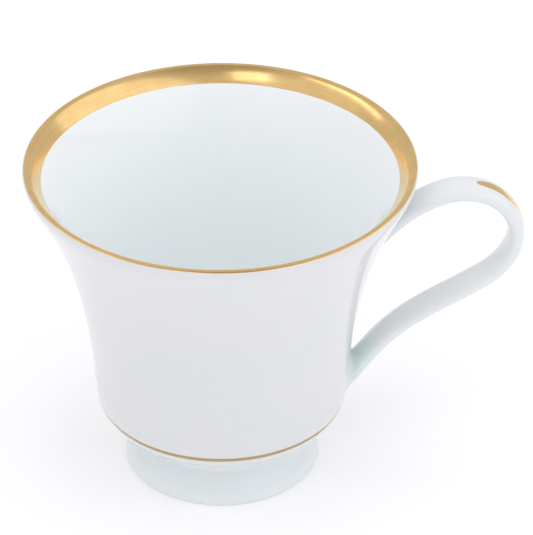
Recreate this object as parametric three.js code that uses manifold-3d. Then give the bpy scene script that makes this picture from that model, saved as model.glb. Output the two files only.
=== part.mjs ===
// Footed porcelain teacup with a strap handle, gilded at the lip, on the shoulder and on the handle.
//
// Units are millimetres and +Z is up. The cup stands on Z = 0 and the handle reaches along +X.
// The origin lies on the resting plane, half way between the far side of the rim and the back of
// the handle, so the axis of the bowl stands at X = AXIS_X.
//
// The pieces are the ones a pottery makes apart: the bowl and the foot are turned, the handle is
// cast, and each is stuck on with a layer of slip before firing. The gilding is a thin film of its
// own, brushed on last. Neighbouring pieces keep a small gap, so that no two solids touch.
import * as THREE from 'three';
import { mergeVertices } from 'three/addons/utils/BufferGeometryUtils.js';
import Module from 'manifold-3d';

const wasm = await Module();
wasm.setup();

// Driving dimensions. Radii are taken from the axis of the bowl, heights from the resting plane.
const RIM_RADIUS = 45;
const HANDLE_REACH = 70.2;
const AXIS_X = (RIM_RADIUS - HANDLE_REACH) / 2;

const LIP_ROUNDING = 0.95;
const LIP_CENTRE_HEIGHT = 79.05;
const LIP_OUTER_ANGLE = THREE.MathUtils.degToRad(-10);
const LIP_INNER_ANGLE = THREE.MathUtils.degToRad(130);

const SHOULDER_RADIUS = 29.6;
const SHOULDER_HEIGHT = 23;
const INNER_SHOULDER_RADIUS = 26.8;
const INNER_SHOULDER_HEIGHT = 23.5;
const FLOOR_HEIGHT = 12.8;

const WAIST_RADIUS = 19.5;
const WAIST_HEIGHT = 9;
const RECESS_RADIUS = 16.5;
const RECESS_CROWN = 0.7;
const FOOT_RADIUS = 22.65;
const FOOT_EDGE_ROUNDING = 0.45;
const FOOT_INNER_RADIUS = 19.4;
const SLIP_THICKNESS = 0.5;

const STRAP_WIDTH = 8.4;
const STRAP_THICKNESS = 3.9;
const LUTING_THICKNESS = 0.6;
const LUTING_SPREAD = 0.9;
const MIDDLE_HEIGHT = 42;

const TOUCH_GAP = 0.3;
const TURNED_GAP = 0.06;
const FILM_THICKNESS = 0.1;
const BRUSHED_GAP = 0.12;

const GILT_LINE_FROM = 0.665;
const GILT_LINE_TO = 0.725;
const GILT_LIP_FROM = THREE.MathUtils.degToRad(28);
const GILT_BAND_DEPTH = 0.184;
const GILT_STROKE_WIDTH = 2.7;
const GILT_STROKE_LENGTH = 20;
const GILT_STROKE_PLACE = { x: 66.7, z: 64.5 };
const GILT_STROKE_TILT = THREE.MathUtils.degToRad(27);

const ROUND_SEGMENTS = 64;
const STRAP_STEPS = 40;
const STRAP_SIDES = 8;

// Centreline of the strap handle, from inside the bowl wall below the rim, over the top of the
// loop, round its back and down to the shoulder. Each point is (distance from the axis, height).
const HANDLE_LINE = [
  [32, 54.5], [37.3, 60.6], [45.2, 67.4], [54, 70.8], [62, 69.2], [67.2, 63.4], [67.7, 56],
  [63.7, 49.5], [57, 44.8], [50.2, 40.9], [43.8, 36.8], [38.2, 32], [33.4, 26.2], [29.6, 21.2],
  [25.5, 18.6],
];

// A point of a turned profile: distance from the axis and height.
function at(radius, height) {
  return new THREE.Vector2(radius, height);
}

// The point a distance away from another along a direction given as an angle.
function onward(point, angle, distance) {
  return at(point.x + distance * Math.cos(angle), point.y + distance * Math.sin(angle));
}

// The profile of the bowl, in four stretches that follow each other from the foot to the floor.
const lipCentre = at(RIM_RADIUS - LIP_ROUNDING, LIP_CENTRE_HEIGHT);
const lipStart = onward(lipCentre, LIP_OUTER_ANGLE, LIP_ROUNDING);
const lipEnd = onward(lipCentre, LIP_INNER_ANGLE, LIP_ROUNDING);
const underside = new THREE.CubicBezierCurve(
  at(WAIST_RADIUS, WAIST_HEIGHT), at(28.3, 15.2), at(29.1, 15.2), at(SHOULDER_RADIUS, SHOULDER_HEIGHT),
);
const wall = new THREE.CubicBezierCurve(
  at(SHOULDER_RADIUS, SHOULDER_HEIGHT), at(32, 61.7),
  onward(lipStart, LIP_OUTER_ANGLE - Math.PI / 2, 5.2), lipStart,
);
const innerWall = new THREE.CubicBezierCurve(
  lipEnd, onward(lipEnd, LIP_INNER_ANGLE + Math.PI / 2, 5),
  at(30.2, 60.5), at(INNER_SHOULDER_RADIUS, INNER_SHOULDER_HEIGHT),
);
const floor = new THREE.CubicBezierCurve(
  at(INNER_SHOULDER_RADIUS, INNER_SHOULDER_HEIGHT), at(26.3, 15.8), at(20, 13), at(0, FLOOR_HEIGHT),
);

// Points of the lip's rounding between two angles.
function lipArc(from, to, steps) {
  return new THREE.EllipseCurve(
    lipCentre.x, lipCentre.y, LIP_ROUNDING, LIP_ROUNDING, from, to,
  ).getPoints(steps);
}

// Points of a curve between two of its parameters.
function stretch(curve, from, to, steps) {
  return Array.from({ length: steps + 1 }, (_, i) => curve.getPoint(from + ((to - from) * i) / steps));
}

// The outer face of the bowl, from the waist to the lip.
function outerLine() {
  return [...underside.getPoints(8), ...wall.getPoints(9).slice(1)];
}

// The gilded band on the inner face of the bowl, from the lip down.
function bandLine() {
  return stretch(innerWall, 0, GILT_BAND_DEPTH, 3);
}

// A line of profile points moved sideways, to the right of its direction of travel.
function offsetLine(points, distance) {
  return points.map((point, i) => {
    const before = points[Math.max(i - 1, 0)];
    const after = points[Math.min(i + 1, points.length - 1)];
    const along = after.clone().sub(before).normalize();
    return at(point.x + along.y * distance, point.y - along.x * distance);
  });
}

// Turns a profile of points about the axis of the bowl.
function turned(profile) {
  const geometry = new THREE.LatheGeometry(profile, ROUND_SEGMENTS);
  geometry.rotateX(Math.PI / 2);
  geometry.translate(AXIS_X, 0, 0);
  return geometry;
}

// A ring of constant thickness that lies on a line of profile points.
function filmOn(points) {
  const near = offsetLine(points, TURNED_GAP);
  const far = offsetLine(points, TURNED_GAP + FILM_THICKNESS);
  return turned([...far, ...near.reverse(), far[0]]);
}

// A closed geometry as a solid that can be cut and joined.
function solid(geometry) {
  const bare = geometry.clone();
  bare.deleteAttribute('normal');
  bare.deleteAttribute('uv');
  const merged = mergeVertices(bare, 1e-4);
  const corners = [];
  for (let i = 0; i < merged.index.count; i += 3) {
    const [a, b, c] = [0, 1, 2].map((k) => merged.index.getX(i + k));
    if (a !== b && b !== c && c !== a) corners.push(a, b, c);
  }
  return new wasm.Manifold(new wasm.Mesh({
    numProp: 3,
    vertProperties: new Float32Array(merged.attributes.position.array),
    triVerts: new Uint32Array(corners),
  }));
}

// The geometry of a solid.
function geometryOf(body) {
  const mesh = body.getMesh();
  const geometry = new THREE.BufferGeometry();
  geometry.setAttribute('position', new THREE.BufferAttribute(mesh.vertProperties, 3));
  geometry.setIndex(new THREE.BufferAttribute(mesh.triVerts, 1));
  geometry.computeVertexNormals();
  return geometry;
}

function bowlGeometry() {
  return turned([
    at(0, WAIST_HEIGHT + RECESS_CROWN),
    at(RECESS_RADIUS / 2, WAIST_HEIGHT + RECESS_CROWN * 0.75),
    at(RECESS_RADIUS, WAIST_HEIGHT),
    ...outerLine(),
    ...lipArc(LIP_OUTER_ANGLE, LIP_INNER_ANGLE, 5).slice(1),
    ...bandLine().slice(1),
    ...stretch(innerWall, GILT_BAND_DEPTH, 1, 7).slice(1),
    ...floor.getPoints(5).slice(1),
  ]);
}

function footGeometry() {
  const top = WAIST_HEIGHT - SLIP_THICKNESS;
  const edge = FOOT_EDGE_ROUNDING;
  const cove = new THREE.CubicBezierCurve(
    at(FOOT_RADIUS, edge), at(FOOT_RADIUS, 4.4), at(20.2, 4.6), at(WAIST_RADIUS, top),
  );
  return turned([
    at(FOOT_INNER_RADIUS + edge, 0),
    at(FOOT_RADIUS - edge, 0),
    ...cove.getPoints(7),
    at(RECESS_RADIUS, top),
    at(FOOT_INNER_RADIUS, edge),
    at(FOOT_INNER_RADIUS + edge, 0),
  ]);
}

function footJointGeometry() {
  const bottom = WAIST_HEIGHT - SLIP_THICKNESS + TURNED_GAP;
  const top = WAIST_HEIGHT - TURNED_GAP;
  const inner = RECESS_RADIUS + TURNED_GAP;
  return turned([
    at(inner, bottom), at(WAIST_RADIUS, bottom), at(WAIST_RADIUS, top), at(inner, top), at(inner, bottom),
  ]);
}

// The outer form of the bowl, without its hollow, grown on every side.
function bowlForm(growth) {
  const grown = offsetLine(outerLine(), growth);
  const low = grown[0].y;
  const high = grown[grown.length - 1].y;
  return solid(turned([at(0, low), ...grown, at(0, high)]));
}

// The strap swept along its whole centreline, with its section grown on every side.
function strap(growth) {
  const section = new THREE.Shape();
  section.absellipse(0, 0, STRAP_WIDTH / 2 + growth, STRAP_THICKNESS / 2 + growth, 0, 2 * Math.PI);
  const line = HANDLE_LINE.map(([reach, height]) => new THREE.Vector3(AXIS_X + reach, 0, height));
  return solid(new THREE.ExtrudeGeometry(section, {
    steps: STRAP_STEPS,
    curveSegments: STRAP_SIDES,
    extrudePath: new THREE.CatmullRomCurve3(line),
  }));
}

function handleGeometry() {
  return geometryOf(strap(0).subtract(bowlForm(2 * TOUCH_GAP + LUTING_THICKNESS)));
}

// The slip under one end of the handle: side is +1 for the upper end and -1 for the lower.
function lutingGeometry(side) {
  const layer = bowlForm(TOUCH_GAP + LUTING_THICKNESS).subtract(bowlForm(TOUCH_GAP));
  const half = new THREE.BoxGeometry(HANDLE_REACH, 2 * STRAP_WIDTH, MIDDLE_HEIGHT);
  half.translate(AXIS_X + HANDLE_REACH / 2, 0, MIDDLE_HEIGHT + (side * MIDDLE_HEIGHT) / 2);
  return geometryOf(strap(LUTING_SPREAD).intersect(layer).intersect(solid(half)));
}

function rimGildingGeometry() {
  return filmOn([...lipArc(GILT_LIP_FROM, LIP_INNER_ANGLE, 4), ...bandLine().slice(1)]);
}

function giltLineGeometry() {
  return filmOn(stretch(underside, GILT_LINE_FROM, GILT_LINE_TO, 2));
}

// The prism of everything inside the centreline of the handle.
function loopCore() {
  const line = new THREE.CatmullRomCurve3(
    HANDLE_LINE.map(([reach, height]) => new THREE.Vector3(reach, height, 0)),
  );
  const core = new THREE.ExtrudeGeometry(new THREE.Shape(line.getPoints(STRAP_STEPS)), {
    depth: 2 * STRAP_WIDTH,
    bevelEnabled: false,
  });
  core.translate(0, 0, -STRAP_WIDTH);
  core.rotateX(Math.PI / 2);
  core.translate(AXIS_X, 0, 0);
  return solid(core);
}

// One tapered brush stroke over the back of the handle: a film round the outer half of the strap,
// trimmed to the pointed outline of the stroke, seen square on from the upper back of the loop.
function handleGildingGeometry() {
  const film = strap(BRUSHED_GAP + FILM_THICKNESS).subtract(strap(BRUSHED_GAP)).subtract(loopCore());
  const tip = GILT_STROKE_LENGTH / 2;
  const outline = new THREE.Shape();
  outline.moveTo(-tip, 0);
  outline.quadraticCurveTo(0, -GILT_STROKE_WIDTH, tip, 0);
  outline.quadraticCurveTo(0, GILT_STROKE_WIDTH, -tip, 0);
  const cutter = new THREE.ExtrudeGeometry(outline, {
    depth: 2 * STRAP_WIDTH,
    bevelEnabled: false,
    curveSegments: 8,
  });
  cutter.translate(0, 0, -STRAP_WIDTH);
  cutter.rotateY(Math.PI / 2 - GILT_STROKE_TILT);
  cutter.translate(AXIS_X + GILT_STROKE_PLACE.x, 0, GILT_STROKE_PLACE.z);
  return geometryOf(film.intersect(solid(cutter)));
}

function porcelain() {
  return new THREE.MeshStandardMaterial({ color: 0xe9edef, roughness: 0.08, metalness: 0 });
}

function slip() {
  return new THREE.MeshStandardMaterial({ color: 0xdde4e4, roughness: 0.15, metalness: 0 });
}

function gold() {
  return new THREE.MeshStandardMaterial({ color: 0xc9a25a, roughness: 0.22, metalness: 1 });
}

const cup = new THREE.Group();

function add(name, geometry, material) {
  const mesh = new THREE.Mesh(geometry, material);
  mesh.name = name;
  cup.add(mesh);
}

add('bowl', bowlGeometry(), porcelain());
add('foot', footGeometry(), porcelain());
add('foot_joint', footJointGeometry(), slip());
add('handle', handleGeometry(), porcelain());
add('handle_upper_joint', lutingGeometry(1), slip());
add('handle_lower_joint', lutingGeometry(-1), slip());
add('rim_gilding', rimGildingGeometry(), gold());
add('gilt_line', giltLineGeometry(), gold());
add('handle_gilding', handleGildingGeometry(), gold());

export default cup;
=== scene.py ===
"""Footed porcelain teacup with a gilded lip, a gilt line on the shoulder and gold on the handle.

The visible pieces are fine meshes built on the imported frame: the bowl, the foot, the handle, the
slip at their three joints and the three films of gold. Profiles are given in millimetres as
(distance from the axis of the bowl, height), as in the part's source, and meshes are in metres.
"""
import math

import bpy
import numpy as np
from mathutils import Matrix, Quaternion, Vector


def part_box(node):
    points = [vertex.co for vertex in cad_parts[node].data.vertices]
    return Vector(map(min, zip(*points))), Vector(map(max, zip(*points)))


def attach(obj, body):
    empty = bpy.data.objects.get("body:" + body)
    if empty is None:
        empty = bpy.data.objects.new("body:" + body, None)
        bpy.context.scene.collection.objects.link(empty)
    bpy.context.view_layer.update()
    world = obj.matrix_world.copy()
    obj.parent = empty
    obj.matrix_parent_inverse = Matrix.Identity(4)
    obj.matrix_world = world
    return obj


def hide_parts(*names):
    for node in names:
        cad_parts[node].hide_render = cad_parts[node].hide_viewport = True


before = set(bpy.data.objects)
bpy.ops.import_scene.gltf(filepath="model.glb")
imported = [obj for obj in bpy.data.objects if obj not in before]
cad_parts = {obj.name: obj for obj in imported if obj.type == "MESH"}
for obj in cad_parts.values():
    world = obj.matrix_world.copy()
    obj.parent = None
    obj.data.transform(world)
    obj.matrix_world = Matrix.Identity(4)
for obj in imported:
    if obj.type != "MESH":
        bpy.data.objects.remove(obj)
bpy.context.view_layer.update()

MM = 0.001
RIM_LOW, RIM_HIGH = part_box("bowl")
AXIS = Vector(((RIM_LOW.x + RIM_HIGH.x) / 2, (RIM_LOW.y + RIM_HIGH.y) / 2, 0))

# Driving dimensions in millimetres.
RIM_RADIUS = 45.0
LIP_ROUNDING = 0.95
LIP_CENTRE = np.array([RIM_RADIUS - LIP_ROUNDING, 79.05])
LIP_OUTER_ANGLE = math.radians(-10)
LIP_INNER_ANGLE = math.radians(130)
SHOULDER = (29.6, 23.0)
INNER_SHOULDER = (26.8, 23.5)
FLOOR_HEIGHT = 12.8
WAIST = (19.5, 9.0)
RECESS_RADIUS = 16.5
RECESS_CROWN = 0.7
FOOT_RADIUS = 22.65
FOOT_INNER_RADIUS = 19.4
FOOT_EDGE = 0.45
SLIP_THICKNESS = 0.5
STRAP_HALF_WIDTH = 4.2
STRAP_HALF_THICKNESS = 1.95
STRAP_SQUARENESS = 2.35
FILLET = 1.3
CROTCH_FILLET = 2.2
FILM = 0.03
SKIN = 0.012
FILM_SQUARENESS = 6
EDGE_SINK = 0.04
FOOT_SLIP_DEPTH = 0.1
COLLAR_DEPTH = 0.4
COLLAR_CORE = 0.5

# How finely the meshes are divided.
ROUND_STEPS = 480
FILM_ROWS = 28
STRAP_STEPS = 96
HANDLE_STEPS = 260
STROKE_STEPS = 140
COLLAR_ROWS = 15
UPPER_ROOT_STEPS = 100
LOWER_ROOT_STEPS = 80

# The gold stroke on the handle: where it starts and ends along the handle, half its width in the
# middle and at its tips, and a power that is smaller for a fuller stroke.
STROKE_START = 32.3
STROKE_END = 53.5
STROKE_HALF_WIDTH = 1.5
STROKE_TIP = 0.02
STROKE_FULLNESS = 0.62

# How far painted edges wander: about this far, as a sum of so many waves round the cup.
RIM_WANDER = 0.06
BRUSH_WANDER = 0.05
WANDER_WAVES = (2, 3, 5, 8, 13, 21, 34, 55)
WANDER_SPREAD = 2.5

# Centreline of the handle, as (distance from the axis, height).
HANDLE_LINE = [
    (32, 54.5), (37.3, 60.6), (45.2, 67.4), (54, 70.8), (62, 69.2), (67.2, 63.4), (67.7, 56),
    (63.7, 49.5), (57, 44.8), (50.2, 40.9), (43.8, 36.8), (38.2, 32), (33.4, 26.2), (29.6, 21.2),
    (25.5, 18.6),
]


# ---------------------------------------------------------------- curves and profiles

def bezier(corners, steps):
    """Points of a cubic Bezier curve."""
    t = np.linspace(0, 1, steps + 1)[:, None]
    a, b, c, d = np.array(corners, float)
    return (1 - t) ** 3 * a + 3 * (1 - t) ** 2 * t * b + 3 * (1 - t) * t**2 * c + t**3 * d


def onward(point, angle, distance):
    """The point a distance away along a direction given as an angle."""
    return np.array(point) + distance * np.array([math.cos(angle), math.sin(angle)])


def arc(centre, radius, start, end, steps):
    """Points of a circular arc between two angles."""
    return np.array([onward(centre, a, radius) for a in np.linspace(start, end, steps + 1)])


def joined(*stretches):
    """Stretches of a profile as one line, without the doubled points where they meet."""
    return np.vstack([stretches[0], *[s[1:] for s in stretches[1:]]])


def catmull_rom(corners, steps):
    """Points of a centripetal Catmull-Rom curve through the corners, as three.js draws it."""
    corners = np.array(corners, float)
    ends = [2 * corners[0] - corners[1], *corners, 2 * corners[-1] - corners[-2]]
    points = []
    for p0, p1, p2, p3 in zip(ends, ends[1:], ends[2:], ends[3:]):
        d0, d1, d2 = (np.linalg.norm(b - a) ** 0.5 for a, b in ((p0, p1), (p1, p2), (p2, p3)))
        m1 = ((p1 - p0) / d0 - (p2 - p0) / (d0 + d1) + (p2 - p1) / d1) * d1
        m2 = ((p2 - p1) / d1 - (p3 - p1) / (d1 + d2) + (p3 - p2) / d2) * d1
        for u in np.arange(steps) / steps:
            a, b = 2 * p1 - 2 * p2 + m1 + m2, -3 * p1 + 3 * p2 - 2 * m1 - m2
            points.append(((a * u + b) * u + m1) * u + p1)
    return np.array([*points, corners[-1]])


def lengths(line):
    """How far along a line each of its points is."""
    return np.concatenate([[0], np.cumsum(np.linalg.norm(np.diff(line, axis=0), axis=1))])


def resampled(line, places):
    """Points at the given distances along a line."""
    along = lengths(line)
    return np.stack([np.interp(places, along, line[:, k]) for k in range(line.shape[1])], 1)


def right_of(line):
    """Unit vectors to the right of a line's direction of travel."""
    along = np.gradient(line, axis=0)
    along /= np.linalg.norm(along, axis=1)[:, None]
    return np.stack([along[:, 1], -along[:, 0]], 1)


LIP_START = onward(LIP_CENTRE, LIP_OUTER_ANGLE, LIP_ROUNDING)
LIP_END = onward(LIP_CENTRE, LIP_INNER_ANGLE, LIP_ROUNDING)
BELOW_LIP_START = onward(LIP_START, LIP_OUTER_ANGLE - math.pi / 2, 5.2)
BELOW_LIP_END = onward(LIP_END, LIP_INNER_ANGLE + math.pi / 2, 5)
UNDERSIDE = bezier([WAIST, (28.3, 15.2), (29.1, 15.2), SHOULDER], steps=40)
WALL = bezier([SHOULDER, (32, 61.7), BELOW_LIP_START, LIP_START], steps=110)
LIP = arc(LIP_CENTRE, LIP_ROUNDING, LIP_OUTER_ANGLE, LIP_INNER_ANGLE, steps=20)
INNER_WALL = bezier([LIP_END, BELOW_LIP_END, (30.2, 60.5), INNER_SHOULDER], steps=96)
BOWL_FLOOR = bezier([INNER_SHOULDER, (26.3, 15.8), (20, 13), (0, FLOOR_HEIGHT)], steps=40)
OUTSIDE = joined(UNDERSIDE, WALL)


# ---------------------------------------------------------------- mesh builders

def make_object(name, points, faces, material, slot, *replaced):
    """A smooth mesh object on the body, standing for CAD nodes. Points are in millimetres."""
    mesh = bpy.data.meshes.new(name)
    mesh.from_pydata([tuple(p) for p in np.asarray(points) * MM], [], faces)
    mesh.polygons.foreach_set("use_smooth", [True] * len(mesh.polygons))
    mesh.materials.append(material)
    mesh.update()
    piece = bpy.data.objects.new(name, mesh)
    bpy.context.scene.collection.objects.link(piece)
    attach(piece, "root")
    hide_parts(*replaced)
    return piece


def grid_faces(rows, columns, wrap_rows=False):
    """Quads between neighbouring rows of a grid of points whose columns close on themselves."""
    return [
        (
            i * columns + j,
            i * columns + (j + 1) % columns,
            (i + 1) % rows * columns + (j + 1) % columns,
            (i + 1) % rows * columns + j,
        )
        for i in range(rows if wrap_rows else rows - 1)
        for j in range(columns)
    ]


def round_points(rings):
    """Places rings about the axis of the bowl. Each row of rings holds (radius, height) by angle."""
    angles = np.linspace(0, 2 * math.pi, ROUND_STEPS, endpoint=False)
    radius, height = rings[..., 0], rings[..., 1]
    x = AXIS.x / MM + radius * np.cos(angles)
    y = AXIS.y / MM + radius * np.sin(angles)
    return np.stack([x, y, np.broadcast_to(height, x.shape)], -1).reshape(-1, 3)


def turned(profile):
    """Turns a profile about the axis of the bowl. An end on the axis closes in a fan."""
    starts_on_axis, ends_on_axis = profile[0][0] < 1e-6, profile[-1][0] < 1e-6
    rings = profile[int(starts_on_axis): len(profile) - int(ends_on_axis)]
    points = round_points(rings[:, None, :]).tolist()
    faces = grid_faces(len(rings), ROUND_STEPS)
    if starts_on_axis:
        points.append((AXIS.x / MM, AXIS.y / MM, profile[0][1]))
        faces += [((j + 1) % ROUND_STEPS, j, len(points) - 1) for j in range(ROUND_STEPS)]
    if ends_on_axis:
        points.append((AXIS.x / MM, AXIS.y / MM, profile[-1][1]))
        top = (len(rings) - 1) * ROUND_STEPS
        faces += [(top + j, top + (j + 1) % ROUND_STEPS, len(points) - 1) for j in range(ROUND_STEPS)]
    return points, faces


def turned_ring(profile):
    """Turns a closed profile about the axis of the bowl."""
    return round_points(profile[:, None, :]), grid_faces(len(profile), ROUND_STEPS, wrap_rows=True)


def ripple(angles, seed, size):
    """A smooth irregular wave round the cup, as a hand-drawn edge has, up to about size."""
    rng = np.random.default_rng(seed)
    wave = sum(
        rng.normal() * np.cos(count * angles + rng.uniform(0, 2 * math.pi)) / math.sqrt(count)
        for count in WANDER_WAVES
    )
    return size * wave / WANDER_SPREAD


def film_section():
    """Pairs of share of the width and height round a film's section, over its top and back under."""
    across = (1 - np.cos(np.linspace(0, math.pi, FILM_ROWS))) / 2
    crown = np.sqrt(np.clip(1 - (2 * across - 1) ** FILM_SQUARENESS, 0, 1))
    return [*zip(across, FILM * crown), *zip(across[::-1], [-FILM] * FILM_ROWS)]


def film_round(line, start, end, wander, seed):
    """A closed film of gold on a profile, between two distances along it, with wandering edges."""
    angles = np.linspace(0, 2 * math.pi, ROUND_STEPS, endpoint=False)
    starts = start + ripple(angles, seed, wander)
    ends = end + ripple(angles, seed + 1, wander)
    along, normals = lengths(line), right_of(line)
    rows = []
    for share, height in film_section():
        place = starts + (ends - starts) * share
        point = [np.interp(place, along, line[:, k]) for k in (0, 1)]
        lift = [height * np.interp(place, along, normals[:, k]) for k in (0, 1)]
        rows.append(np.stack(point, -1) + np.stack(lift, -1))
    return round_points(np.array(rows)), grid_faces(2 * FILM_ROWS, ROUND_STEPS, wrap_rows=True)


# ---------------------------------------------------------------- the handle's form

HANDLE_CURVE = catmull_rom(HANDLE_LINE, steps=40)
HANDLE_LENGTH = lengths(HANDLE_CURVE)[-1]
TANGENT_STEP = 0.05


def to_wall(points):
    """Signed distance of points (x, y, z) about the bowl's axis from the outside of the bowl."""
    flat = np.stack([np.hypot(points[:, 0], points[:, 1]), points[:, 2]], 1)
    a, b = OUTSIDE[:-1], OUTSIDE[1:]
    step = b - a
    offset = flat[:, None] - a[None]
    share = np.clip((offset * step).sum(2) / (step**2).sum(1), 0, 1)
    miss = offset - share[..., None] * step
    nearest = (miss**2).sum(2).argmin(1)
    rows = np.arange(len(flat))
    side = offset[rows, nearest, 0] * step[nearest, 1] - offset[rows, nearest, 1] * step[nearest, 0]
    return np.sign(side) * np.linalg.norm(miss[rows, nearest], axis=1)


def on_centreline(places):
    """Points at distances along the handle. Before its start it runs straight on into the wall."""
    start = HANDLE_CURVE[1] - HANDLE_CURVE[0]
    run_on = np.minimum(places, 0)[:, None] * start / np.linalg.norm(start)
    return resampled(HANDLE_CURVE, places) + run_on


def strap_frame(places):
    """Centres of the strap and its outward directions at distances along it."""
    tangents = on_centreline(places + TANGENT_STEP) - on_centreline(places - TANGENT_STEP)
    tangents /= np.linalg.norm(tangents, axis=1)[:, None]
    outward = np.stack([-tangents[:, 1], tangents[:, 0]], 1)
    return on_centreline(places), outward


def strap_points(places, angles, growth):
    """Points of the strap's surface about the bowl's axis. Its outer back is at 90 degrees."""
    centres, outward = strap_frame(places)
    power = 2 / STRAP_SQUARENESS
    across = np.sign(np.cos(angles)) * np.abs(np.cos(angles)) ** power * (STRAP_HALF_WIDTH + growth)
    out = np.sign(np.sin(angles)) * np.abs(np.sin(angles)) ** power * (STRAP_HALF_THICKNESS + growth)
    x = centres[:, None, 0] + outward[:, None, 0] * out
    z = centres[:, None, 1] + outward[:, None, 1] * out
    return np.stack([x, np.broadcast_to(across, x.shape), z], -1)


def capped_tube(rings):
    """A tube of rings with a flat cap at each end."""
    rows, columns = rings.shape[:2]
    faces = grid_faces(rows, columns)
    faces += [tuple(range(columns))[::-1], tuple((rows - 1) * columns + j for j in range(columns))]
    return rings.reshape(-1, 3), faces


def about_axis(points):
    """Moves points from the bowl's axis to the part's frame."""
    return points + np.array(AXIS) / MM


# ---------------------------------------------------------------- materials

class Nodes:
    """A material with its Principled shader, and short ways to add nodes to it."""

    def __init__(self, name):
        self.material = bpy.data.materials.new(name)
        self.material.use_nodes = True
        self.tree = self.material.node_tree
        self.shader = self.tree.nodes["Principled BSDF"]

    def add(self, kind, inputs=None, **settings):
        """A node whose inputs are given as sockets to link or as values to set."""
        node = self.tree.nodes.new(kind)
        for key, value in settings.items():
            setattr(node, key, value)
        for key, value in (inputs or {}).items():
            self.put(node.inputs[key], value)
        return node

    def put(self, socket, value):
        """Links another node's output to a socket, or sets the socket's own value."""
        if isinstance(value, bpy.types.NodeSocket):
            self.tree.links.new(value, socket)
        else:
            socket.default_value = value

    def math(self, operation, *values):
        """The outcome of an arithmetic operation on values or sockets."""
        return self.add("ShaderNodeMath", dict(enumerate(values)), operation=operation).outputs[0]

    def vector(self, operation, *values):
        """A vector operation's node, because some give a vector and some a value."""
        return self.add("ShaderNodeVectorMath", dict(enumerate(values)), operation=operation)

    def position(self):
        """Places about the axis of the bowl, in millimetres."""
        place = self.add("ShaderNodeTexCoord").outputs["Object"]
        from_axis = self.vector("SUBTRACT", place, tuple(AXIS)).outputs[0]
        return self.vector("MULTIPLY", from_axis, (1 / MM,) * 3).outputs[0]

    def noise(self, place, size, detail=2.0, **settings):
        """Noise from 0 to 1 whose lumps are about size millimetres across."""
        inputs = {"Vector": place, "Scale": 1 / size, "Detail": detail}
        return self.add("ShaderNodeTexNoise", inputs, **settings).outputs["Fac"]

    def ramp(self, value, low, high, to_low=0.0, to_high=1.0):
        """A value brought smoothly from one range to another."""
        inputs = dict(enumerate((value, low, high, to_low, to_high)))
        return self.add("ShaderNodeMapRange", inputs, interpolation_type="SMOOTHSTEP").outputs[0]

    def mix(self, share, first, second):
        """One colour that passes over to another as the share goes from 0 to 1."""
        inputs = {0: share, 6: first, 7: second}
        return self.add("ShaderNodeMix", inputs, data_type="RGBA").outputs[2]

    def bump(self, height, depth, normal=None):
        """A bump whose full height is depth millimetres."""
        inputs = {"Height": height, "Strength": 1.0, "Distance": depth * MM}
        if normal is not None:
            inputs["Normal"] = normal
        return self.add("ShaderNodeBump", inputs).outputs[0]


def colour(red, green, blue):
    """An opaque colour in linear light."""
    return (red, green, blue, 1.0)


# Painted light and shade: one glaze in lit and shaded tones, the outside greyer as painted shade, the
# inside whiter as painted light, the handle and foot lighter and cooler.
GLAZE_OUTSIDE_PAINTED_SHADE = colour(0.753, 0.770, 0.775), colour(0.740, 0.763, 0.772)
GLAZE_HANDLE_PAINTED_LIGHT = colour(0.806, 0.838, 0.841), colour(0.794, 0.830, 0.837)
GLAZE_FOOT_PAINTED_LIGHT = colour(0.838, 0.870, 0.880), colour(0.826, 0.862, 0.876)
GLAZE_INSIDE_PAINTED_LIGHT = colour(0.918, 0.958, 0.957), colour(0.908, 0.953, 0.955)
# Painted shade: the cool greenish colour of the shade in the handle's crotch and round the foot's
# waist.
GLAZE_PAINTED_SHADE_TINT = colour(0.74, 0.89, 0.86)
BARE_CLAY = colour(0.80, 0.785, 0.755)
SPECK = colour(0.60, 0.60, 0.57)
# The middle of the painted greenish shade in the handle's crotch, in millimetres about the axis.
CROTCH = (31.3, -2.0, 27.0)
GOLD = colour(0.90, 0.63, 0.255)
GOLD_DEEP = colour(0.84, 0.56, 0.21)
GOLD_BROWN = colour(0.46, 0.33, 0.15)
GOLD_UMBER = colour(0.40, 0.28, 0.12)

# The glaze and the bare clay under the foot: sizes and depths in millimetres, the share of places
# that have a speck, and the glaze's index of refraction.
GLAZE_PATCHES = 22
# Size of the patches that make the painted greenish shade uneven.
PAINTED_SHADE_PATCHES = 3.0
GLOSS_PATCHES = 9
SPECK_SPACING = 7.0
SPECK_SHARE = 0.12
GLAZE_WAVES = 6.0
GLAZE_WAVE_DEPTH = 0.02
GLAZE_PEEL = 1.1
GLAZE_PEEL_DEPTH = 0.001
CLAY_GRIT = 0.25
CLAY_GRIT_DEPTH = 0.03
BARE_BELOW = 0.12
GLAZED_ABOVE = 0.3
GLAZE_IOR = 1.5

# The gold: its thin places, its waves and the marks of the brush round the cup, in millimetres,
# the marks on the handle, as marks per millimetre in each direction, and the bright coat.
GOLD_PATCHES = 4.5
GOLD_WAVES = 3.0
GOLD_WAVE_DEPTH = 0.008
BRUSH_MARK_LENGTH = 9.0
BRUSH_MARK_WIDTH = 0.45
BRUSH_MARK_DEPTH = 0.0004
STROKE_MARKS = (0.14, 2.2, 0.14)
GOLD_COAT = 0.5
GOLD_COAT_ROUGHNESS = 0.06


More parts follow.
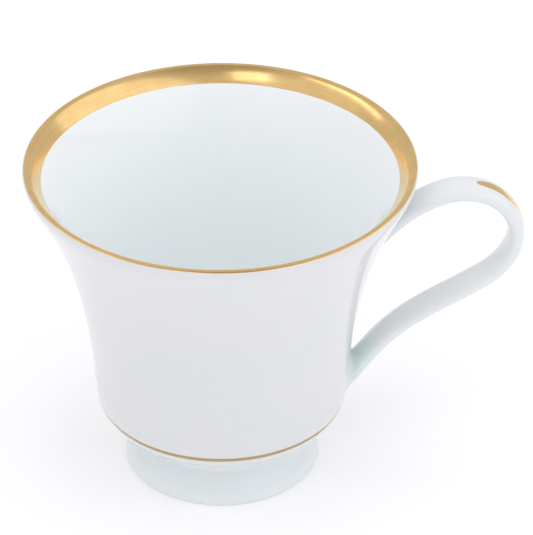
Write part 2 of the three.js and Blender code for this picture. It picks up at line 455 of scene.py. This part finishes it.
def glazed(name, tones, fade=None):
    """White porcelain under clear glaze, with painted greenish shade at the crotch and the foot.

    A fade gives tones of painted light and shade, a direction, and the distances along it between
    which they take over.
    """
    nodes = Nodes(name)
    place = nodes.position()
    height = nodes.add("ShaderNodeSeparateXYZ", {0: place}).outputs["Z"]

    patches = nodes.ramp(nodes.noise(place, GLAZE_PATCHES), 0.35, 0.65)
    tone = nodes.mix(patches, *tones)
    # Painted light: the fade's tones are lighter and cooler than the glaze's own, for how light falls
    # there.
    if fade:
        far_tones, direction, start, end = fade
        distance = nodes.vector("DOT_PRODUCT", place, direction).outputs["Value"]
        tone = nodes.mix(nodes.ramp(distance, start, end), tone, nodes.mix(patches, *far_tones))

    # Painted shade: a cool greenish tint where shade falls, near the handle's crotch and just above
    # the foot's waist.
    from_crotch = nodes.vector("DISTANCE", place, CROTCH).outputs["Value"]
    shade_at_crotch = nodes.ramp(from_crotch, 1.5, 9.0, 0.95, 0.0)
    shade_at_foot = nodes.ramp(height, WAIST[1] - 0.5, WAIST[1] + 3.0, 0.24, 0.0)
    painted_shade = nodes.math("MAXIMUM", shade_at_crotch, shade_at_foot)
    uneven = nodes.ramp(nodes.noise(place, PAINTED_SHADE_PATCHES), 0.2, 0.8, 0.6, 1.0)
    tone = nodes.mix(nodes.math("MULTIPLY", painted_shade, uneven), tone, GLAZE_PAINTED_SHADE_TINT)

    cells = nodes.add("ShaderNodeTexVoronoi", {"Vector": place, "Scale": 1 / SPECK_SPACING})
    chance = nodes.add("ShaderNodeSeparateColor", {0: cells.outputs["Color"]}).outputs[0]
    rare = nodes.math("GREATER_THAN", chance, 1 - SPECK_SHARE)
    dot = nodes.ramp(cells.outputs["Distance"], 0.012, 0.03, 0.55, 0.0)
    tone = nodes.mix(nodes.math("MULTIPLY", rare, dot), tone, SPECK)

    bare = nodes.ramp(height, BARE_BELOW, GLAZED_ABOVE, 1.0, 0.0)
    grit = nodes.noise(place, CLAY_GRIT)
    nodes.put(nodes.shader.inputs["Base Color"], nodes.mix(bare, tone, BARE_CLAY))
    glaze_roughness = nodes.ramp(nodes.noise(place, GLOSS_PATCHES), 0.3, 0.7, 0.05, 0.09)
    roughness = nodes.math("ADD", glaze_roughness, nodes.math("MULTIPLY", bare, 0.6))
    nodes.put(nodes.shader.inputs["Roughness"], roughness)
    nodes.put(nodes.shader.inputs["IOR"], GLAZE_IOR)
    waves = nodes.bump(nodes.noise(place, GLAZE_WAVES, 1.0), GLAZE_WAVE_DEPTH)
    peel = nodes.bump(nodes.noise(place, GLAZE_PEEL, 1.0), GLAZE_PEEL_DEPTH, waves)
    rough_clay = nodes.bump(nodes.math("MULTIPLY", grit, bare), CLAY_GRIT_DEPTH, peel)
    nodes.put(nodes.shader.inputs["Normal"], rough_clay)
    return nodes.material


def gilt(nodes, streaks, full, sparse):
    """Brushed-on liquid gold, burnished bright, with the marks of the brush and thin places."""
    place = nodes.position()
    patches = nodes.noise(place, GOLD_PATCHES, 3.0)
    thickness = nodes.math("MULTIPLY", nodes.math("ADD", streaks, patches), 0.5)
    tone = nodes.mix(nodes.ramp(thickness, 0.35, 0.65), sparse, full)
    nodes.put(nodes.shader.inputs["Base Color"], tone)
    nodes.put(nodes.shader.inputs["Metallic"], 1.0)
    nodes.put(nodes.shader.inputs["Roughness"], nodes.ramp(thickness, 0.3, 0.7, 0.22, 0.17))
    nodes.put(nodes.shader.inputs["Coat Weight"], GOLD_COAT)
    nodes.put(nodes.shader.inputs["Coat Roughness"], GOLD_COAT_ROUGHNESS)
    broad = nodes.bump(nodes.noise(place, GOLD_WAVES, 1.0), GOLD_WAVE_DEPTH)
    nodes.put(nodes.shader.inputs["Normal"], nodes.bump(streaks, BRUSH_MARK_DEPTH, broad))
    return nodes.material


def gilt_round(name, full, sparse):
    """Gold whose brush marks run round the cup."""
    nodes = Nodes(name)
    place = nodes.position()
    level = nodes.vector("MULTIPLY", place, (1, 1, 0)).outputs[0]
    radius = nodes.vector("LENGTH", level).outputs["Value"]
    height = nodes.add("ShaderNodeSeparateXYZ", {0: place}).outputs["Z"]
    heading = nodes.vector("NORMALIZE", level).outputs[0]
    marks_round = RIM_RADIUS / BRUSH_MARK_LENGTH
    around = nodes.vector("MULTIPLY", heading, (marks_round, marks_round, 0)).outputs[0]
    marks_across = nodes.math("DIVIDE", radius, BRUSH_MARK_WIDTH)
    across = nodes.add("ShaderNodeCombineXYZ", {"Z": marks_across}).outputs[0]
    inputs = {
        "Vector": nodes.vector("ADD", around, across).outputs[0],
        "W": nodes.math("DIVIDE", height, BRUSH_MARK_WIDTH),
        "Scale": 1.0,
        "Detail": 2.0,
    }
    streaks = nodes.add("ShaderNodeTexNoise", inputs, noise_dimensions="4D").outputs["Fac"]
    return gilt(nodes, streaks, full, sparse)


def gilt_along(name):
    """Gold whose brush marks run along the handle."""
    nodes = Nodes(name)
    drawn_out = nodes.vector("MULTIPLY", nodes.position(), STROKE_MARKS).outputs[0]
    return gilt(nodes, nodes.noise(drawn_out, 1.0), GOLD, GOLD_DEEP)


# Painted light: lighter, cooler tones downwards to the foot, and away from the flaring wall along the
# handle.
PAINTED_LIGHT_FADE_TO_FOOT = GLAZE_FOOT_PAINTED_LIGHT, (0, 0, -1), -15, -9.5
PAINTED_LIGHT_FADE_TO_HANDLE = GLAZE_HANDLE_PAINTED_LIGHT, (1, 0, -0.16), 26.6, 32

PORCELAIN_OUTSIDE_PAINTED_LIGHT_AND_SHADE = glazed("porcelain_outside_painted_light_and_shade", GLAZE_OUTSIDE_PAINTED_SHADE, PAINTED_LIGHT_FADE_TO_FOOT)
PORCELAIN_INSIDE_PAINTED_LIGHT = glazed("porcelain_inside_painted_light", GLAZE_INSIDE_PAINTED_LIGHT)
PORCELAIN_HANDLE_PAINTED_LIGHT_AND_SHADE = glazed("porcelain_handle_painted_light_and_shade", GLAZE_OUTSIDE_PAINTED_SHADE, PAINTED_LIGHT_FADE_TO_HANDLE)
GILT_ROUND = gilt_round("gold_round", GOLD, GOLD_DEEP)
GILT_LINE = gilt_round("gold_line", GOLD_BROWN, GOLD_UMBER)
GILT_ALONG = gilt_along("gold_along")


# ---------------------------------------------------------------- porcelain pieces

def make_bowl():
    """The bowl as one closed form: the recess under it, the outside, the lip and the inside."""
    crown = WAIST[1] + RECESS_CROWN
    recess = bezier([(0, crown), (8, crown), (14, WAIST[1]), (RECESS_RADIUS, WAIST[1])], steps=12)
    seat = np.array([(RECESS_RADIUS, WAIST[1]), WAIST])
    outer = joined(recess, seat, OUTSIDE, LIP)
    shape = turned(joined(outer, INNER_WALL, BOWL_FLOOR))
    bowl = make_object("bowl_body", *shape, PORCELAIN_OUTSIDE_PAINTED_LIGHT_AND_SHADE, "porcelain", "bowl")
    # The inside faces take the glaze painted whiter, as painted light falling in from above.
    bowl.data.materials.append(PORCELAIN_INSIDE_PAINTED_LIGHT)
    lip_height = outer[-1][1] * MM
    for face in bowl.data.polygons:
        outward = (face.center - AXIS).xy.dot(face.normal.xy)
        above_floor = face.center.z > FLOOR_HEIGHT * MM - 1e-6
        faces_in_or_up = outward < 0 or face.normal.z > 0.7
        if above_floor and face.center.z < lip_height and faces_in_or_up:
            face.material_index = 1
    return bowl


FOOT_TOP = WAIST[1] - SLIP_THICKNESS
COVE_CORNERS = [(FOOT_RADIUS, FOOT_EDGE), (FOOT_RADIUS, 4.4), (20.2, 4.6), (WAIST[0], FOOT_TOP)]
COVE = bezier(COVE_CORNERS, steps=40)


def make_foot():
    """The foot ring, which flares down to a rounded edge that the cup stands on."""
    outer_centre = (FOOT_RADIUS - FOOT_EDGE, FOOT_EDGE)
    inner_centre = (FOOT_INNER_RADIUS + FOOT_EDGE, FOOT_EDGE)
    outer_edge = arc(outer_centre, FOOT_EDGE, -math.pi / 2, 0, steps=8)
    inner_edge = arc(inner_centre, FOOT_EDGE, math.pi, 1.5 * math.pi, steps=8)
    inside_top = (RECESS_RADIUS, FOOT_TOP)
    inside_corners = [inside_top, (RECESS_RADIUS + 1, 5), (FOOT_INNER_RADIUS, 4), inner_edge[0]]
    inside = bezier(inside_corners, steps=16)
    shape = turned_ring(joined(outer_edge, COVE, inside[:1], inside, inner_edge))
    return make_object("foot_ring", *shape, PORCELAIN_OUTSIDE_PAINTED_LIGHT_AND_SHADE, "porcelain", "foot")


def make_foot_joint():
    """The smoothed ring of slip in the angle between the foot and the bowl."""
    low, high = COVE[-5], UNDERSIDE[4]
    corner = np.array([WAIST[0], WAIST[1] - SLIP_THICKNESS / 2])
    hollow = bezier([low, (2 * corner + low) / 3, (2 * corner + high) / 3, high], steps=16)
    hollow += SKIN * right_of(hollow)
    buried = [
        high + (-EDGE_SINK, EDGE_SINK / 2),
        (RECESS_RADIUS, WAIST[1] + FOOT_SLIP_DEPTH),
        (RECESS_RADIUS, FOOT_TOP - FOOT_SLIP_DEPTH),
        low - (EDGE_SINK, 0),
    ]
    shape = turned_ring(np.vstack([hollow, buried]))
    return make_object("foot_slip", *shape, PORCELAIN_OUTSIDE_PAINTED_LIGHT_AND_SHADE, "slip", "foot_joint")


# Places across the strap: from one edge over its outer back and round to its inner face.
STRAP_ANGLES = np.linspace(0, 2 * math.pi, STRAP_STEPS, endpoint=False)
ROOT_DEPTH = 1.0
ROOT_REACH = 18.0
ROOT_RUN_ON = 6.0

# The rows of a collar lie closer together on the strap's side by this power.
COLLAR_GATHER = 1.5


def reach(distance, growth, at_top):
    """For each angle, how far along the handle its surface is the given distance from the bowl."""
    if at_top:
        places = np.linspace(-ROOT_RUN_ON, ROOT_REACH, UPPER_ROOT_STEPS)
    else:
        places = np.linspace(HANDLE_LENGTH, HANDLE_LENGTH - ROOT_REACH, LOWER_ROOT_STEPS)
    points = strap_points(places, STRAP_ANGLES, growth)
    away = to_wall(points.reshape(-1, 3)).reshape(points.shape[:2])
    columns = np.maximum.accumulate(away).T
    distances = np.broadcast_to(distance, len(columns))
    return np.array([np.interp(d, column, places) for d, column in zip(distances, columns)])


def strap_row(places, growth):
    """One ring of the strap's surface with a distance along the handle for each angle."""
    points = strap_points(places, STRAP_ANGLES, growth)
    columns = np.arange(len(STRAP_ANGLES))
    return points[columns, columns]


def make_handle():
    """The strap handle. Both ends are cut to the wall and sunk a little into it."""
    top, bottom = reach(-ROOT_DEPTH, 0, True), reach(-ROOT_DEPTH, 0, False)
    rings = [strap_row(top + (bottom - top) * share, 0) for share in np.linspace(0, 1, HANDLE_STEPS)]
    shape = capped_tube(about_axis(np.array(rings)))
    return make_object("handle_strap", *shape, PORCELAIN_HANDLE_PAINTED_LIGHT_AND_SHADE, "porcelain", "handle")


def make_collar(name, at_top, outer_fillet, inner_fillet, node):
    """Slip wiped round a joint of the handle, from the strap out on to the wall."""
    fillet = inner_fillet + (outer_fillet - inner_fillet) * (1 + np.sin(STRAP_ANGLES)) / 2
    swing = math.pi / 2 * np.linspace(0, 1, COLLAR_ROWS)[:, None] ** COLLAR_GATHER
    rise = fillet * (1 - np.sin(swing))
    spread = fillet * (1 - np.cos(swing))
    rows = [(d, g + SKIN) for d, g in zip(rise, spread)]
    rows += [(-EDGE_SINK, fillet), (-COLLAR_DEPTH, -COLLAR_CORE), (fillet, -EDGE_SINK)]
    rings = np.array([strap_row(reach(d, g, at_top), g) for d, g in rows])
    if at_top:
        rings = rings[::-1]
    points = about_axis(rings).reshape(-1, 3)
    faces = grid_faces(len(rings), len(STRAP_ANGLES), wrap_rows=True)
    return make_object(name, points, faces, PORCELAIN_HANDLE_PAINTED_LIGHT_AND_SHADE, "slip", node)


# ---------------------------------------------------------------- gold pieces

RIM_LINE = joined(LIP, INNER_WALL)
GILT_LIP_FROM = math.radians(42)
GILT_BAND_SHARE = 0.184
GILT_LINE_SHARES = (0.655, 0.735)


def make_rim_gilding():
    """The gold over the lip and down the inside, with its hand-banded edges."""
    start = LIP_ROUNDING * (GILT_LIP_FROM - LIP_OUTER_ANGLE)
    end = lengths(LIP)[-1] + lengths(INNER_WALL)[round(GILT_BAND_SHARE * (len(INNER_WALL) - 1))]
    shape = film_round(RIM_LINE, start, end, RIM_WANDER, seed=11)
    return make_object("rim_gold", *shape, GILT_ROUND, "gold", "rim_gilding")


def make_gilt_line():
    """The thin gold line drawn round the shoulder."""
    ends = np.array(GILT_LINE_SHARES) * (len(UNDERSIDE) - 1)
    start, end = np.interp(ends, np.arange(len(UNDERSIDE)), lengths(UNDERSIDE))
    shape = film_round(UNDERSIDE, start, end, BRUSH_WANDER, seed=23)
    return make_object("line_gold", *shape, GILT_LINE, "gold", "gilt_line")


def make_handle_gilding():
    """The single brush stroke of gold along the back of the handle, pointed at both ends."""
    places = np.linspace(STROKE_START, STROKE_END, STROKE_STEPS)
    share = np.linspace(0, 1, STROKE_STEPS)
    belly = np.sin(math.pi * share**STROKE_FULLNESS) ** STROKE_FULLNESS
    half_width = STROKE_HALF_WIDTH * belly + STROKE_TIP
    edges = [
        side * half_width + ripple(share * math.pi, seed, BRUSH_WANDER) * belly
        for side, seed in ((-1, 31), (1, 37))
    ]
    centres, outward = strap_frame(places)
    rings = []
    for across, lift in film_section():
        y = edges[0] + (edges[1] - edges[0]) * across
        fall = 1 - np.abs(y / STRAP_HALF_WIDTH) ** STRAP_SQUARENESS
        out = STRAP_HALF_THICKNESS * fall ** (1 / STRAP_SQUARENESS)
        flat = centres + outward * (out + lift)[:, None]
        rings.append(np.stack([flat[:, 0], y, flat[:, 1]], 1))
    shape = capped_tube(about_axis(np.array(rings).transpose(1, 0, 2)))
    return make_object("handle_gold", *shape, GILT_ALONG, "gold", "handle_gilding")


make_bowl()
make_foot()
make_foot_joint()
make_handle()
make_collar("upper_slip", True, FILLET, FILLET, "handle_upper_joint")
make_collar("lower_slip", False, FILLET, CROTCH_FILLET, "handle_lower_joint")
make_rim_gilding()
make_gilt_line()
make_handle_gilding()


# ---------------------------------------------------------------- camera, floor and light

CAMERA_DISTANCE = 1.0
CAMERA_ELEVATION = math.radians(34.123)
CAMERA_AZIMUTH = math.radians(3)
CAMERA_HEIGHT_ABOVE = 0.040
CAMERA_LENS = 290.0
CAMERA_SENSOR = 36
CAMERA_AIM_RIGHT = 0.01056
CAMERA_AIM_UP = 0.0096
WORLD_STRENGTH = 0.68
LIGHT_TINT = (1.0, 0.982, 1.012)

# The darker gap between the lights: where its middle is, its inner and outer radius, and its strength.
GAP_RIGHT = 5
GAP_ELEVATION = 70
GAP_INNER = math.radians(12)
GAP_OUTER = math.radians(32)
GAP_STRENGTH = 0.42

FLOOR_HALF = 3.0
FLOOR_GLOW = 0.12
FLOOR_GRAIN = 40
FLOOR_TONES = colour(0.95, 0.95, 0.95), colour(0.96, 0.96, 0.96)

# Softboxes: degrees to the right of the camera and above the floor, width and height in metres,
# degrees of turn about the line to the cup, and brightness as a share of a white surface.
SOFTBOX_DISTANCE = 1.2
FILL_LIGHTS = ("overhead", "high_front")
SOFTBOXES = {
    "right": (68, 31, 2.2, 0.85, 0, 0.47),
    "left": (-60, 30, 1.5, 0.8, 0, 0.14),
    "left_strip": (-97, 41, 0.95, 0.14, 45, 1.3),
    "front_left": (-22.5, 48, 0.38, 0.28, 0, 1.25),
    "overhead": (0, 90, 1.2, 1.2, 0, 0.98),
    "high_front": (0, 62, 1.2, 0.5, 0, 0.5),
}


def from_cup(right_of_camera, elevation):
    """The direction from the cup towards a place right of the camera and above the floor."""
    heading = right_of_camera - CAMERA_AZIMUTH
    return Vector((
        math.sin(heading) * math.cos(elevation),
        -math.cos(heading) * math.cos(elevation),
        math.sin(elevation),
    ))


def make_camera():
    """A long lens that looks down on the cup from the front, with the handle to the right."""
    back = from_cup(0, CAMERA_ELEVATION)
    right = Vector((0, 0, 1)).cross(back).normalized()
    up = back.cross(right)
    middle = AXIS + Vector((0, 0, CAMERA_HEIGHT_ABOVE))
    camera = bpy.data.objects.new("camera", bpy.data.cameras.new("camera"))
    bpy.context.scene.collection.objects.link(camera)
    camera.location = middle + back * CAMERA_DISTANCE
    aim = middle + right * CAMERA_AIM_RIGHT + up * CAMERA_AIM_UP
    camera.rotation_mode = "QUATERNION"
    camera.rotation_quaternion = (aim - camera.location).to_track_quat("-Z", "Y")
    camera.data.lens = CAMERA_LENS
    camera.data.sensor_width = CAMERA_SENSOR
    bpy.context.scene.camera = camera


def make_floor():
    """The pale floor, which isn't part of the cup."""
    corners = [(x * FLOOR_HALF, y * FLOOR_HALF, 0) for x, y in ((-1, -1), (1, -1), (1, 1), (-1, 1))]
    mesh = bpy.data.meshes.new("floor")
    mesh.from_pydata(corners, [], [(0, 1, 2, 3)])
    floor = bpy.data.objects.new("floor", mesh)
    bpy.context.scene.collection.objects.link(floor)
    nodes = Nodes("pale_floor")
    grain = nodes.ramp(nodes.noise(nodes.position(), FLOOR_GRAIN), 0.3, 0.7)
    nodes.put(nodes.shader.inputs["Base Color"], nodes.mix(grain, *FLOOR_TONES))
    nodes.put(nodes.shader.inputs["Roughness"], 0.9)
    nodes.put(nodes.shader.inputs["Emission Color"], colour(1, 1, 1))
    nodes.put(nodes.shader.inputs["Emission Strength"], FLOOR_GLOW)
    mesh.materials.append(nodes.material)


def make_softbox(name, right_of_camera, elevation, width, height, turn, brightness):
    """A rectangular light that faces the cup."""
    light = bpy.data.lights.new(name, "AREA")
    light.shape = "RECTANGLE"
    light.size = width
    light.size_y = height
    light.energy = brightness * math.pi * width * height
    light.color = LIGHT_TINT
    lamp = bpy.data.objects.new(name, light)
    bpy.context.scene.collection.objects.link(lamp)
    towards = from_cup(math.radians(right_of_camera), math.radians(elevation))
    lamp.location = AXIS + Vector((0, 0, CAMERA_HEIGHT_ABOVE)) + towards * SOFTBOX_DISTANCE
    lamp.rotation_mode = "QUATERNION"
    turned_by = Quaternion((0, 0, 1), math.radians(turn))
    lamp.rotation_quaternion = towards.to_track_quat("Z", "Y") @ turned_by
    lamp.visible_camera = False
    lamp.visible_glossy = name not in FILL_LIGHTS


def make_world():
    """The white studio all round, with a darker gap overhead between the lights."""
    world = bpy.data.worlds.new("studio")
    bpy.context.scene.world = world
    world.use_nodes = True
    background = world.node_tree.nodes["Background"]
    background.inputs["Color"].default_value = colour(*LIGHT_TINT)
    tree = world.node_tree
    heading = tree.nodes.new("ShaderNodeTexCoord").outputs["Generated"]
    nearness = tree.nodes.new("ShaderNodeVectorMath")
    nearness.operation = "DOT_PRODUCT"
    tree.links.new(heading, nearness.inputs[0])
    nearness.inputs[1].default_value = from_cup(math.radians(GAP_RIGHT), math.radians(GAP_ELEVATION))
    strength = tree.nodes.new("ShaderNodeMapRange")
    strength.interpolation_type = "SMOOTHSTEP"
    levels = (math.cos(GAP_OUTER), math.cos(GAP_INNER), WORLD_STRENGTH, GAP_STRENGTH)
    for socket, level in zip(strength.inputs[1:5], levels):
        socket.default_value = level
    tree.links.new(nearness.outputs["Value"], strength.inputs[0])
    tree.links.new(strength.outputs[0], background.inputs["Strength"])


make_camera()
make_floor()
make_world()
for softbox_name, softbox in SOFTBOXES.items():
    make_softbox(softbox_name, *softbox)
bpy.context.scene.view_settings.view_transform = "Standard"
